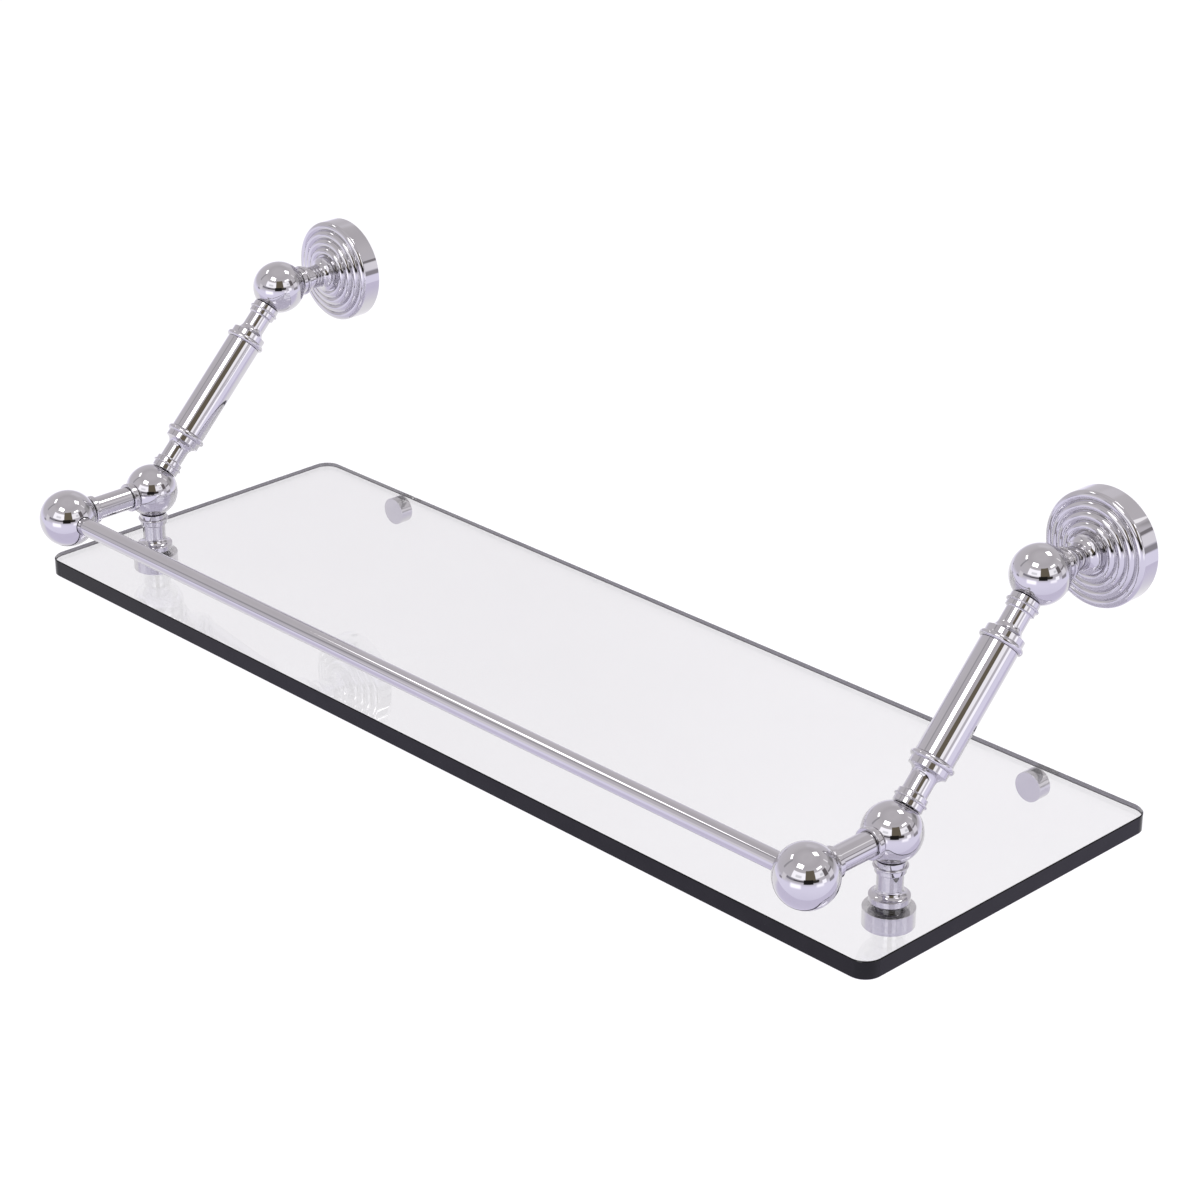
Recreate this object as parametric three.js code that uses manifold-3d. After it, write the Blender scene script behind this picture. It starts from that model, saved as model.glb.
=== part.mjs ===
// Wall shelf with brackets: a glass shelf between two turned metal brackets, with a gallery rail along the front.
// Millimetres. +X runs along the shelf, +Y points into the wall, +Z is up.
// The origin is on the wall plane, at mid-width, level with the glass's top face.
import * as THREE from "three";
import { mergeVertices } from "three/addons/utils/BufferGeometryUtils.js";
import Module from "manifold-3d";

const wasm = await Module();
wasm.setup();

// ---------------------------------------------------------------- dimensions

const GAP = 0.3; // clearance between pieces that touch

const GLASS_WIDTH = 609.6;
const GLASS_DEPTH = 203.2;
const GLASS_THICKNESS = 9.525;
const GLASS_CORNER_RADIUS = 9.5;
const GLASS_HOLE_RADIUS = 4.5;

const BRACKET_X = 273.3; // bracket plane to mid-width
const POST_Y = -152.4; // post axis to the wall
const HUB_Z = 34.6; // lower ball's centre above the glass
const ARM_RISE = 96.0; // lower ball to upper ball, both up and back
const FRONT_BALL_REACH = 56.5; // lower ball's centre to front ball's centre

const BALL_RADIUS = 14.5;
const BALL_SEAT = 12.9; // ball centre to the flat that a collar sits on
const FRONT_BALL_RADIUS = 15.5;
const FRONT_BALL_SEAT = 13.9;
const SEAT_CLEAR_RADIUS = 9; // room cut round a seat
const STUD_DEPTH = 5; // how near a ball's centre its threaded holes start

const ROD_RADIUS = 2.5;
const ROD_BORE = ROD_RADIUS + GAP;

// Collars, measured along each from its ball's centre
const RING_RADIUS = 7.4; // flat rings on either side of the small bead
const BEAD_RADIUS = 8.3;
const BEAD_START = 15.9;
const BEAD_END = 17.1;
const RING_END = 19.5;
const NECK_RADIUS = 6.25;
const NECK_START = 20.4;
const NECK_END = 27.2;
const COVE_RADIUS = 7.1; // half-way out along the cove
const COVE_MIDDLE = 29.6;
const BAND_RADIUS = 9.7;
const BAND_START = 31.6;
const COLLAR_END = 34.3; // far face of the band
const BIG_BEAD_RADIUS = 11.1; // bead against the arm's tube
const BIG_BEAD_START = 34.8;
const BIG_BEAD_END = 37.9;
const BIG_BEAD_SLOPE = 1;

const ARM_TUBE_RADIUS = 9.65;
const ARM_TUBE_WALL = 1.2;
const SPIGOT_LENGTH = 6;

const SPACER_RADIUS = 6.35;
const SPACER_WALL = 1;
const FERRULE_RADIUS = 7.9;
const FERRULE_LENGTH = 3.2;
const FERRULE_CHAMFER = 0.5;
const FERRULE_SPIGOT = 3;

const RAIL_RADIUS = 4.7625;
const RAIL_WALL = 1;
const RAIL_SOCKET = 6; // ball centre to the blind end of the rail's socket

const STANDOFF = 6.5; // rosette's back to the wall
const UPPER_BALL_TO_ROSETTE = 50; // upper ball's centre to the rosette's back
const ROSETTE_RADIUS = 28.57;
const ROSETTE_RIM = 9.6; // straight part of the rosette's rim
const ROSETTE_FACE = 15.4; // rosette's back to its middle's face
const ROSETTE_MIDDLE_RADIUS = 10.4;
const ROSETTE_RIDGES = 4;
const RIDGE_BULGE = 1.5;
const RIDGE_STEPS = 3;
const ROSETTE_HOLLOW_RADIUS = 23.5;
const ROSETTE_HOLLOW_SIDE = 7.5; // straight part of the hollow's side
const ROSETTE_FLOOR = 11; // rosette's back to the floor that the nut sits on
const ROSETTE_FLOOR_RADIUS = 12;

const PLATE_RADIUS = 20;
const PLATE_THICKNESS = 12;
const PLATE_BORE = 3.5;
const PLATE_SCREW_OFFSET = 14;
const PLATE_SCREW_HOLE = 2.2;
const PLATE_COUNTERSINK = 4.3;

const SET_SCREW_RADIUS = 1.8;
const SET_SCREW_LENGTH = 7.2;
const SET_SCREW_SETBACK = 10.5; // set screw's axis to the wall
const HEX_SOCKET_RADIUS = 1;
const HEX_SOCKET_DEPTH = 2.5;

const NUT_ACROSS = 9.2; // nut's width across its corners
const NUT_THICKNESS = 3;

const CAP_RADIUS = 12.4;
const CAP_HEIGHT = 9.5;
const WASHER_RADIUS = 7;
const WASHER_THICKNESS = 0.8;
const WASHER_RECESS = 0.9;
const WASHER_GAP = 0.1; // washers and rear pins to the glass
const STUD_IN_CAP = 7; // glass's underside to the post stud's end
const EDGE_CHAMFER = 0.4;

const PIN_X = 236.8;
const PIN_RADIUS = 7.8;
const PIN_LENGTH = 7.9;
const PIN_HOLE_RADIUS = 2;
const PIN_HOLE_DEPTH = 5;

const FINE = 28; // sides of the rosettes and the glass's corners, a full turn
const MEDIUM = 16; // sides of the balls, collars and tubes
const COARSE = 8; // sides of studs, small holes and screws

// ----------------------------------------------------------------- materials

const chrome = { color: 0xc6c2ce, roughness: 0.06, metalness: 1 };
const steel = { color: 0x8d8d92, roughness: 0.35, metalness: 1 };
const clearGlass = { color: 0xe9edec, roughness: 0.03, metalness: 0 };
const clearPlastic = { color: 0xdedede, roughness: 0.3, metalness: 0 };

// ------------------------------------------------------------------- helpers

const UP = new THREE.Vector3(0, 1, 0);
const group = new THREE.Group();
group.name = "wall_shelf";

function add(name, geometry, material) {
  const mesh = new THREE.Mesh(geometry, new THREE.MeshStandardMaterial(material));
  mesh.name = name;
  group.add(mesh);
}

// Turned solid from [radius, distance] points, along `along` from `from`.
function turned(points, sides, from, along) {
  const profile = points.map(([r, s]) => new THREE.Vector2(r, s));
  const turn = new THREE.Quaternion().setFromUnitVectors(UP, along.clone().normalize());
  return new THREE.LatheGeometry(profile, sides)
    .applyQuaternion(turn)
    .translate(from.x, from.y, from.z);
}

const rod = (radius, start, end) => [
  [0, start],
  [radius, start],
  [radius, end],
  [0, end],
];

const sleeve = (outer, inner, start, end) => [
  [inner, start],
  [outer, start],
  [outer, end],
  [inner, end],
  [inner, start],
];

function ballProfile(radius) {
  const steps = MEDIUM / 2;
  return Array.from({ length: steps + 1 }, (_, i) => {
    const a = (Math.PI * i) / steps;
    const r = i === 0 || i === steps ? 0 : radius * Math.sin(a);
    return [r, -radius * Math.cos(a)];
  });
}

function toSolid(geometry) {
  const bare = geometry.clone();
  bare.deleteAttribute("normal");
  bare.deleteAttribute("uv");
  const merged = mergeVertices(bare, 1e-3);
  return new wasm.Manifold(
    new wasm.Mesh({
      numProp: 3,
      vertProperties: merged.attributes.position.array,
      triVerts: new Uint32Array(merged.index.array),
    }),
  );
}

function fromSolid(solid) {
  const mesh = solid.getMesh();
  return new THREE.BufferGeometry()
    .setAttribute("position", new THREE.BufferAttribute(mesh.vertProperties, 3))
    .setIndex(new THREE.BufferAttribute(mesh.triVerts, 1));
}

function cut(body, tools) {
  let solid = toSolid(body);
  for (const tool of tools) solid = solid.subtract(toSolid(tool));
  return fromSolid(solid);
}

// ------------------------------------------------------------ turned profiles

// Outside of a collar, from the face by the ball to the far face of its band.
const collarOutside = () => [
  [RING_RADIUS, BALL_SEAT + GAP],
  [RING_RADIUS, BEAD_START],
  [BEAD_RADIUS, (BEAD_START + BEAD_END) / 2],
  [RING_RADIUS, BEAD_END],
  [RING_RADIUS, RING_END],
  [NECK_RADIUS, NECK_START],
  [NECK_RADIUS, NECK_END],
  [COVE_RADIUS, COVE_MIDDLE],
  [BAND_RADIUS, BAND_START],
  [BAND_RADIUS, COLLAR_END],
];

// A collar bored through for its rod: the stem's, against the rosette.
const plainCollar = () => [
  [ROD_BORE, BALL_SEAT + GAP],
  ...collarOutside(),
  [ROD_BORE, COLLAR_END],
  [ROD_BORE, BALL_SEAT + GAP],
];

// The post: a collar whose foot is recessed for a washer.
const postProfile = () => [
  [ROD_BORE, BALL_SEAT + GAP],
  ...collarOutside(),
  [WASHER_RADIUS + GAP, COLLAR_END],
  [WASHER_RADIUS + GAP, COLLAR_END - WASHER_RECESS],
  [ROD_BORE, COLLAR_END - WASHER_RECESS],
  [ROD_BORE, BALL_SEAT + GAP],
];

// The arm's collar: a big bead past the band, then a spigot inside the tube.
const armCollar = () => [
  [ROD_BORE, BALL_SEAT + GAP],
  ...collarOutside(),
  [BAND_RADIUS, BIG_BEAD_START],
  [BIG_BEAD_RADIUS, BIG_BEAD_START + BIG_BEAD_SLOPE],
  [BIG_BEAD_RADIUS, BIG_BEAD_END - BIG_BEAD_SLOPE],
  [BAND_RADIUS, BIG_BEAD_END],
  [ARM_TUBE_RADIUS - ARM_TUBE_WALL - GAP, BIG_BEAD_END],
  [ARM_TUBE_RADIUS - ARM_TUBE_WALL - GAP, BIG_BEAD_END + SPIGOT_LENGTH],
  [ROD_BORE, BIG_BEAD_END + SPIGOT_LENGTH],
  [ROD_BORE, BALL_SEAT + GAP],
];

// The spacer's ferrule: a short ring by its ball, with a spigot inside the tube.
function ferrule(seat) {
  const start = seat + GAP;
  const end = start + FERRULE_LENGTH;
  const spigot = SPACER_RADIUS - SPACER_WALL - GAP;
  return [
    [ROD_BORE, start],
    [FERRULE_RADIUS - FERRULE_CHAMFER, start],
    [FERRULE_RADIUS, start + FERRULE_CHAMFER],
    [FERRULE_RADIUS, end - FERRULE_CHAMFER],
    [FERRULE_RADIUS - FERRULE_CHAMFER, end],
    [spigot, end],
    [spigot, end + FERRULE_SPIGOT],
    [ROD_BORE, end + FERRULE_SPIGOT],
    [ROD_BORE, start],
  ];
}

// Rounded ridges from the rosette's rim in to its middle.
function ridges() {
  const points = [];
  const dr = (ROSETTE_MIDDLE_RADIUS - ROSETTE_RADIUS) / ROSETTE_RIDGES;
  const ds = (ROSETTE_FACE - ROSETTE_RIM) / ROSETTE_RIDGES;
  const chord = Math.hypot(dr, ds);
  for (let i = 0; i < ROSETTE_RIDGES; i++) {
    for (let j = i ? 0 : 1; j < RIDGE_STEPS; j++) {
      const t = j / RIDGE_STEPS;
      const lift = RIDGE_BULGE * Math.sin(Math.PI * t);
      const r = ROSETTE_RADIUS + dr * (i + t) + (lift * ds) / chord;
      const s = ROSETTE_RIM + ds * (i + t) - (lift * dr) / chord;
      points.push([Math.min(r, ROSETTE_RADIUS), s]);
    }
  }
  return points;
}

const rosetteProfile = () => [
  [ROSETTE_HOLLOW_RADIUS, 0],
  [ROSETTE_RADIUS, 0],
  [ROSETTE_RADIUS, ROSETTE_RIM],
  ...ridges(),
  [ROSETTE_MIDDLE_RADIUS, ROSETTE_FACE],
  [ROD_BORE, ROSETTE_FACE],
  [ROD_BORE, ROSETTE_FLOOR],
  [ROSETTE_FLOOR_RADIUS, ROSETTE_FLOOR],
  [ROSETTE_HOLLOW_RADIUS, ROSETTE_HOLLOW_SIDE],
  [ROSETTE_HOLLOW_RADIUS, 0],
];

// A ball's seat for a collar, with the threaded hole for its rod.
const seatTool = (seat, radius) => [
  [0, STUD_DEPTH],
  [ROD_BORE, STUD_DEPTH],
  [ROD_BORE, seat],
  [SEAT_CLEAR_RADIUS, seat],
  [SEAT_CLEAR_RADIUS, radius + 1],
  [0, radius + 1],
];

// ---------------------------------------------------------------- the glass

function glassShelf() {
  const x = GLASS_WIDTH / 2;
  const r = GLASS_CORNER_RADIUS;
  const outline = new THREE.Shape();
  outline.moveTo(-x + r, -GLASS_DEPTH);
  outline.absarc(x - r, -GLASS_DEPTH + r, r, -Math.PI / 2, 0);
  outline.absarc(x - r, -r, r, 0, Math.PI / 2);
  outline.absarc(-x + r, -r, r, Math.PI / 2, Math.PI);
  outline.absarc(-x + r, -GLASS_DEPTH + r, r, Math.PI, Math.PI * 1.5);
  outline.closePath();
  for (const side of [-1, 1]) {
    const hole = new THREE.Path();
    hole.absarc(side * BRACKET_X, POST_Y, GLASS_HOLE_RADIUS, 0, Math.PI * 2, true);
    outline.holes.push(hole);
  }
  return new THREE.ExtrudeGeometry(outline, {
    depth: GLASS_THICKNESS,
    bevelEnabled: false,
    curveSegments: FINE / 4,
  }).translate(0, 0, -GLASS_THICKNESS);
}

// ------------------------------------------------------------- the brackets

const along = {
  forward: new THREE.Vector3(0, -1, 0),
  back: new THREE.Vector3(0, 1, 0),
  down: new THREE.Vector3(0, 0, -1),
  armUp: new THREE.Vector3(0, 1, 1).normalize(),
  armDown: new THREE.Vector3(0, -1, -1).normalize(),
};

// The wall plate, and the rosette that slips over it.
function wallFixing(side, x, upperBall) {
  const wall = new THREE.Vector3(x, 0, upperBall.z);
  const rosetteBack = new THREE.Vector3(x, -STANDOFF, upperBall.z);
  const plateHoles = [-1, 1].map((end) =>
    turned(
      [
        [0, -1],
        [PLATE_SCREW_HOLE, -1],
        [PLATE_SCREW_HOLE, PLATE_THICKNESS - PLATE_COUNTERSINK + PLATE_SCREW_HOLE],
        [PLATE_COUNTERSINK + 1, PLATE_THICKNESS + 1],
        [0, PLATE_THICKNESS + 1],
      ],
      COARSE,
      wall.clone().setZ(wall.z + end * PLATE_SCREW_OFFSET),
      along.forward,
    ),
  );
  const disc = sleeve(PLATE_RADIUS, PLATE_BORE, 0, PLATE_THICKNESS);
  const plate = turned(disc, MEDIUM, wall, along.forward);
  add(`wall_plate_${side}`, cut(plate, plateHoles), steel);

  const screwAxis = new THREE.Vector3(x, -SET_SCREW_SETBACK, upperBall.z);
  const screwHole = turned(
    rod(SET_SCREW_RADIUS + GAP, ROSETTE_HOLLOW_RADIUS - 1, ROSETTE_RADIUS + 1),
    COARSE,
    screwAxis,
    along.down,
  );
  const rosette = turned(rosetteProfile(), FINE, rosetteBack, along.forward);
  add(`rosette_${side}`, cut(rosette, [screwHole]), chrome);

  const screwStart = PLATE_RADIUS + GAP;
  const screwEnd = screwStart + SET_SCREW_LENGTH;
  const screw = [
    [0, screwStart],
    [SET_SCREW_RADIUS, screwStart],
    [SET_SCREW_RADIUS, screwEnd],
    [HEX_SOCKET_RADIUS, screwEnd],
    [HEX_SOCKET_RADIUS, screwEnd - HEX_SOCKET_DEPTH],
    [0, screwEnd - HEX_SOCKET_DEPTH],
  ];
  add(`rosette_set_screw_${side}`, turned(screw, COARSE, screwAxis, along.down), steel);
}

// The turned stem from the upper ball to the rosette, its stud and its nut.
function stem(side, upperBall) {
  add(`stem_collar_${side}`, turned(plainCollar(), MEDIUM, upperBall, along.back), chrome);
  const nutStart = UPPER_BALL_TO_ROSETTE - ROSETTE_FLOOR + GAP;
  const nutEnd = nutStart + NUT_THICKNESS;
  const stud = rod(ROD_RADIUS, STUD_DEPTH + GAP, nutEnd + 1.5);
  add(`stem_stud_${side}`, turned(stud, COARSE, upperBall, along.back), steel);
  const hexagon = turned(rod(NUT_ACROSS / 2, nutStart, nutEnd), 6, upperBall, along.back);
  const nutBore = turned(rod(ROD_BORE, nutStart - 1, nutEnd + 1), COARSE, upperBall, along.back);
  add(`stem_nut_${side}`, cut(hexagon, [nutBore]), steel);
}

// The slanted arm: a tube between two collars, drawn together by a rod.
function arm(side, upperBall, lowerBall) {
  const length = upperBall.distanceTo(lowerBall);
  add(`arm_collar_upper_${side}`, turned(armCollar(), MEDIUM, upperBall, along.armDown), chrome);
  const tube = sleeve(
    ARM_TUBE_RADIUS,
    ARM_TUBE_RADIUS - ARM_TUBE_WALL,
    BIG_BEAD_END + GAP,
    length - BIG_BEAD_END - GAP,
  );
  add(`arm_tube_${side}`, turned(tube, MEDIUM, upperBall, along.armDown), chrome);
  add(`arm_collar_lower_${side}`, turned(armCollar(), MEDIUM, lowerBall, along.armUp), chrome);
  const armRod = rod(ROD_RADIUS, STUD_DEPTH + GAP, length - STUD_DEPTH - GAP);
  add(`arm_rod_${side}`, turned(armRod, COARSE, upperBall, along.armDown), steel);
}

// The short level spacer between the lower ball and the front ball.
function spacer(side, lowerBall, frontBall) {
  const rear = ferrule(BALL_SEAT);
  const front = ferrule(FRONT_BALL_SEAT);
  const tube = sleeve(
    SPACER_RADIUS,
    SPACER_RADIUS - SPACER_WALL,
    BALL_SEAT + FERRULE_LENGTH + 2 * GAP,
    FRONT_BALL_REACH - FRONT_BALL_SEAT - FERRULE_LENGTH - 2 * GAP,
  );
  add(`spacer_ferrule_rear_${side}`, turned(rear, MEDIUM, lowerBall, along.forward), chrome);
  add(`spacer_tube_${side}`, turned(tube, MEDIUM, lowerBall, along.forward), chrome);
  add(`spacer_ferrule_front_${side}`, turned(front, MEDIUM, frontBall, along.back), chrome);
  const spacerRod = rod(ROD_RADIUS, STUD_DEPTH + GAP, FRONT_BALL_REACH - STUD_DEPTH - GAP);
  add(`spacer_rod_${side}`, turned(spacerRod, COARSE, lowerBall, along.forward), steel);
}

// The post on the glass, and what clamps the glass to it from below.
function glassClamp(side, lowerBall) {
  add(`post_${side}`, turned(postProfile(), MEDIUM, lowerBall, along.down), chrome);
  const foot = new THREE.Vector3(lowerBall.x, lowerBall.y, 0);
  const washer = (start) => {
    const ring = sleeve(WASHER_RADIUS, ROD_BORE, start, start + WASHER_THICKNESS);
    return turned(ring, MEDIUM, foot, along.down);
  };
  add(`washer_upper_${side}`, washer(-WASHER_GAP - WASHER_THICKNESS), clearPlastic);
  add(`washer_lower_${side}`, washer(GLASS_THICKNESS + WASHER_GAP), clearPlastic);

  const capTop = GLASS_THICKNESS + GAP;
  const studEnd = GLASS_THICKNESS + STUD_IN_CAP;
  const cap = [
    [0, studEnd + GAP],
    [ROD_BORE, studEnd + GAP],
    [ROD_BORE, capTop + WASHER_RECESS],
    [WASHER_RADIUS + GAP, capTop + WASHER_RECESS],
    [WASHER_RADIUS + GAP, capTop],
    [CAP_RADIUS, capTop],
    [CAP_RADIUS, GLASS_THICKNESS + CAP_HEIGHT - EDGE_CHAMFER],
    [CAP_RADIUS - EDGE_CHAMFER, GLASS_THICKNESS + CAP_HEIGHT],
    [0, GLASS_THICKNESS + CAP_HEIGHT],
  ];
  add(`clamp_cap_${side}`, turned(cap, MEDIUM + 4, foot, along.down), chrome);
  const stud = rod(ROD_RADIUS, -(lowerBall.z - STUD_DEPTH - GAP), studEnd);
  add(`post_stud_${side}`, turned(stud, COARSE, foot, along.down), steel);
}

function balls(side, sign, upperBall, lowerBall, frontBall) {
  const seat = (centre, direction, distance, radius) =>
    turned(seatTool(distance, radius), MEDIUM, centre, direction);
  const round = (centre, radius) => turned(ballProfile(radius), MEDIUM, centre, along.down);

  const upper = cut(round(upperBall, BALL_RADIUS), [
    seat(upperBall, along.back, BALL_SEAT, BALL_RADIUS),
    seat(upperBall, along.armDown, BALL_SEAT, BALL_RADIUS),
  ]);
  add(`upper_ball_${side}`, upper, chrome);

  const lower = cut(round(lowerBall, BALL_RADIUS), [
    seat(lowerBall, along.armUp, BALL_SEAT, BALL_RADIUS),
    seat(lowerBall, along.forward, BALL_SEAT, BALL_RADIUS),
    seat(lowerBall, along.down, BALL_SEAT, BALL_RADIUS),
  ]);
  add(`lower_ball_${side}`, lower, chrome);

  const inward = new THREE.Vector3(-sign, 0, 0);
  const railSocket = rod(RAIL_RADIUS + GAP, RAIL_SOCKET, FRONT_BALL_RADIUS + 1);
  const front = cut(round(frontBall, FRONT_BALL_RADIUS), [
    seat(frontBall, along.back, FRONT_BALL_SEAT, FRONT_BALL_RADIUS),
    turned(railSocket, MEDIUM, frontBall, inward),
  ]);
  add(`front_ball_${side}`, front, chrome);
}

// The stub on the wall that the glass's back edge rests on.
function rearPin(side, sign) {
  const centre = new THREE.Vector3(sign * PIN_X, 0, -GLASS_THICKNESS - PIN_RADIUS - WASHER_GAP);
  const profile = [
    [0, PIN_HOLE_DEPTH],
    [PIN_HOLE_RADIUS, PIN_HOLE_DEPTH],
    [PIN_HOLE_RADIUS, 0],
    [PIN_RADIUS, 0],
    [PIN_RADIUS, PIN_LENGTH - EDGE_CHAMFER],
    [PIN_RADIUS - EDGE_CHAMFER, PIN_LENGTH],
    [0, PIN_LENGTH],
  ];
  add(`rear_pin_${side}`, turned(profile, MEDIUM + 4, centre, along.forward), chrome);
}

function bracket(side, sign) {
  const x = sign * BRACKET_X;
  const lowerBall = new THREE.Vector3(x, POST_Y, HUB_Z);
  const upperBall = new THREE.Vector3(x, POST_Y + ARM_RISE, HUB_Z + ARM_RISE);
  const frontBall = new THREE.Vector3(x, POST_Y - FRONT_BALL_REACH, HUB_Z);
  wallFixing(side, x, upperBall);
  stem(side, upperBall);
  balls(side, sign, upperBall, lowerBall, frontBall);
  arm(side, upperBall, lowerBall);
  spacer(side, lowerBall, frontBall);
  glassClamp(side, lowerBall);
  rearPin(side, sign);
}

// ------------------------------------------------------------- the assembly

add("glass_shelf", glassShelf(), clearGlass);

const railEnd = BRACKET_X - RAIL_SOCKET - GAP;
const railCentre = new THREE.Vector3(0, POST_Y - FRONT_BALL_REACH, HUB_Z);
const rail = sleeve(RAIL_RADIUS, RAIL_RADIUS - RAIL_WALL, -railEnd, railEnd);
add("gallery_rail", turned(rail, MEDIUM, railCentre, new THREE.Vector3(1, 0, 0)), chrome);

bracket("left", -1);
bracket("right", 1);

export default group;
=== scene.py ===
"""Looks of the wall shelf with brackets: polished chrome brackets and rail, and a clear glass shelf.

Metres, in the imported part's frame: +X along the shelf, +Y into the wall, +Z up, origin on the wall plane.
"""

import math

import bmesh
import bpy
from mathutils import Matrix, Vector


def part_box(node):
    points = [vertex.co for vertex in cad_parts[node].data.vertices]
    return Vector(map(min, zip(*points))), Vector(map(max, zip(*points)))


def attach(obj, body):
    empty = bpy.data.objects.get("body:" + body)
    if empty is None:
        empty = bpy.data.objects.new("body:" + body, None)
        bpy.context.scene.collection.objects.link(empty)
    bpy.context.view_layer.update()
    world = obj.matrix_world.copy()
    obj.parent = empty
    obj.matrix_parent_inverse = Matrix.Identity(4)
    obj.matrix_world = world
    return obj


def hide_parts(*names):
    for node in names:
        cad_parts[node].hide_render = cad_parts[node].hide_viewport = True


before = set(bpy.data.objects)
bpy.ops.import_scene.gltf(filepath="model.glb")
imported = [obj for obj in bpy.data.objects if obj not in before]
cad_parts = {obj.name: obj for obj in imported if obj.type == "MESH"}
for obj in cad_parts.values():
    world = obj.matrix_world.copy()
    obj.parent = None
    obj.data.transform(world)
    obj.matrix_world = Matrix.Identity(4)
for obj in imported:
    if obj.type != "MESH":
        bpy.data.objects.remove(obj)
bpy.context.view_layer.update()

MM = 0.001
SIDES = {"left": -1, "right": 1}

# Camera: metres, degrees and millimetres
CAMERA_PLACE = (1.08279, -1.11871, 0.72882)
CAMERA_TURN_DEG = (65.1694, 0.0, 45.8922)
CAMERA_LENS = 96.06
CAMERA_SENSOR = 36.0
GLOSSY_BOUNCES = 8

# Turned pieces, in millimetres
LATHE_SIDES = 112
GAP = 0.3  # clearance inside bores, and at the joints that show as a dark line
JOINT = 0.06  # clearance at the joints that show no line
SOFT_EDGE = 0.22  # radius of the small round on every turned edge
SOFT_STEPS = 3
SHARP_DEG = 38

BALL_RADIUS = 14.5
BALL_SEAT = 12.9
FRONT_BALL_RADIUS = 15.5
FRONT_BALL_SEAT = 13.9
SEAT_CLEAR_RADIUS = 9.0
STUD_DEPTH = 5.0
ROD_BORE = 2.8
PAST_SURFACE = 1.0  # how far a cutter reaches past the surface that it opens

RING_RADIUS = 7.4
BEAD_RADIUS = 8.3
BEAD_START = 15.9
BEAD_END = 17.1
RING_END = 19.5
NECK_RADIUS = 6.25
NECK_START = 20.4
NECK_END = 27.2
SHOULDER_BULGE = 0.25
COVE_BULGE = 1.1
BAND_RADIUS = 9.7
BAND_START = 31.6
COLLAR_END = 34.5
BIG_BEAD_RADIUS = 11.1
BIG_BEAD_START = 34.8
BIG_BEAD_END = 37.9
SPIGOT_LENGTH = 6.0

ARM_TUBE_RADIUS = 9.65
ARM_TUBE_WALL = 1.2
SPACER_RADIUS = 6.35
SPACER_WALL = 1.0
FERRULE_RADIUS = 7.9
FERRULE_LENGTH = 3.2
FERRULE_ROUND = 0.6
FERRULE_SPIGOT = 3.0
RAIL_RADIUS = 4.7625
RAIL_WALL = 1.0
RAIL_SOCKET = 6.0

ROSETTE_RADIUS = 28.57
ROSETTE_RIM = 9.6
ROSETTE_FACE = 15.4
ROSETTE_MIDDLE_RADIUS = 10.4
ROSETTE_RIDGES = 4
RIDGE_BULGE = 1.5
ROSETTE_HOLLOW_RADIUS = 23.5
ROSETTE_HOLLOW_SIDE = 7.5
ROSETTE_FLOOR = 11.0
ROSETTE_FLOOR_RADIUS = 12.0
SET_SCREW_BORE = 2.1
SET_SCREW_SETBACK = 10.5
SET_SCREW_SIDES = 32

WASHER_RADIUS = 7.0
WASHER_RECESS = 0.9
CAP_RADIUS = 12.4
CAP_HEIGHT = 9.5
CAP_BORE_DEPTH = 7.3
CAP_ROUND = 0.4
CAP_ROUND_BULGE = 0.11
PIN_RADIUS = 7.8
PIN_LENGTH = 7.9
PIN_HOLE_RADIUS = 2.0
PIN_HOLE_DEPTH = 5.0

GLASS_THICKNESS = 9.525
GLASS_CORNER_RADIUS = 9.5
GLASS_CORNER_STEPS = 14
GLASS_CHAMFER = 0.5
GLASS_HOLE_RADIUS = 4.5
GLASS_HOLE_SIDES = 48
LEVEL_FACE = 0.99  # least upright part of a normal on the glass's top or underside

# Colours and roughness that a fine noise blends between
CHROME_TINTS = ((0.575, 0.565, 0.585), (0.60, 0.59, 0.605))
CHROME_ROUGHNESS = (0.004, 0.02)
STEEL_TINTS = ((0.38, 0.38, 0.40), (0.52, 0.52, 0.53))
STEEL_ROUGHNESS = (0.26, 0.44)
PLASTIC_TINTS = ((0.80, 0.80, 0.80), (0.90, 0.90, 0.91))
PLASTIC_ROUGHNESS = (0.22, 0.34)
GLASS_TINTS = ((0.845, 0.849, 0.838), (0.855, 0.859, 0.848))
GLASS_ROUGHNESS = (0.0, 0.006)
# The glass's edges: near-black with little transmission, a painted shade for the dark look of the clear
# glass's edges
GLASS_EDGE_SHADE_TINTS = ((0.006, 0.006, 0.007), (0.010, 0.010, 0.011))
GLASS_EDGE_ROUGHNESS = (0.04, 0.09)
FLOOR_TINTS = ((0.36, 0.357, 0.37), (0.37, 0.367, 0.38))

# Floor, in metres. Its own soft glow is painted light; it turns from the first colour, a dim lavender that is
# painted soft shade near the shelf, to the second behind the shelf.
FLOOR_Z = -0.85
FLOOR_CENTRE = Vector((-1.9, 1.9))
FLOOR_RADIUS = 3.6
FLOOR_SIDES = 96
FLOOR_GLOW = 0.77
FLOOR_SHADE_TO_GLOW_COLOURS = ((0.73, 0.68, 0.93), (1.0, 0.995, 1.02))
FLOOR_GLOW_START = 0.15
FLOOR_GLOW_END = 0.60

# Soft lamps: azimuth from +Y towards +X, elevation, width and height in degrees, metres away, radiance
LAMPS = {
    "lamp_back": (15, 62.5, 14, 13, 3.2, 4.0),
    "lamp_front": (170, 53.5, 20, 13, 5.2, 4.0),
    "lamp_left": (-110, 47.5, 15, 6, 8.0, 2.5),
    "lamp_right": (80, 42.5, 20, 6, 8.0, 1.8),
}

BACKDROP = (1.08, 1.06, 1.16)

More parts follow.
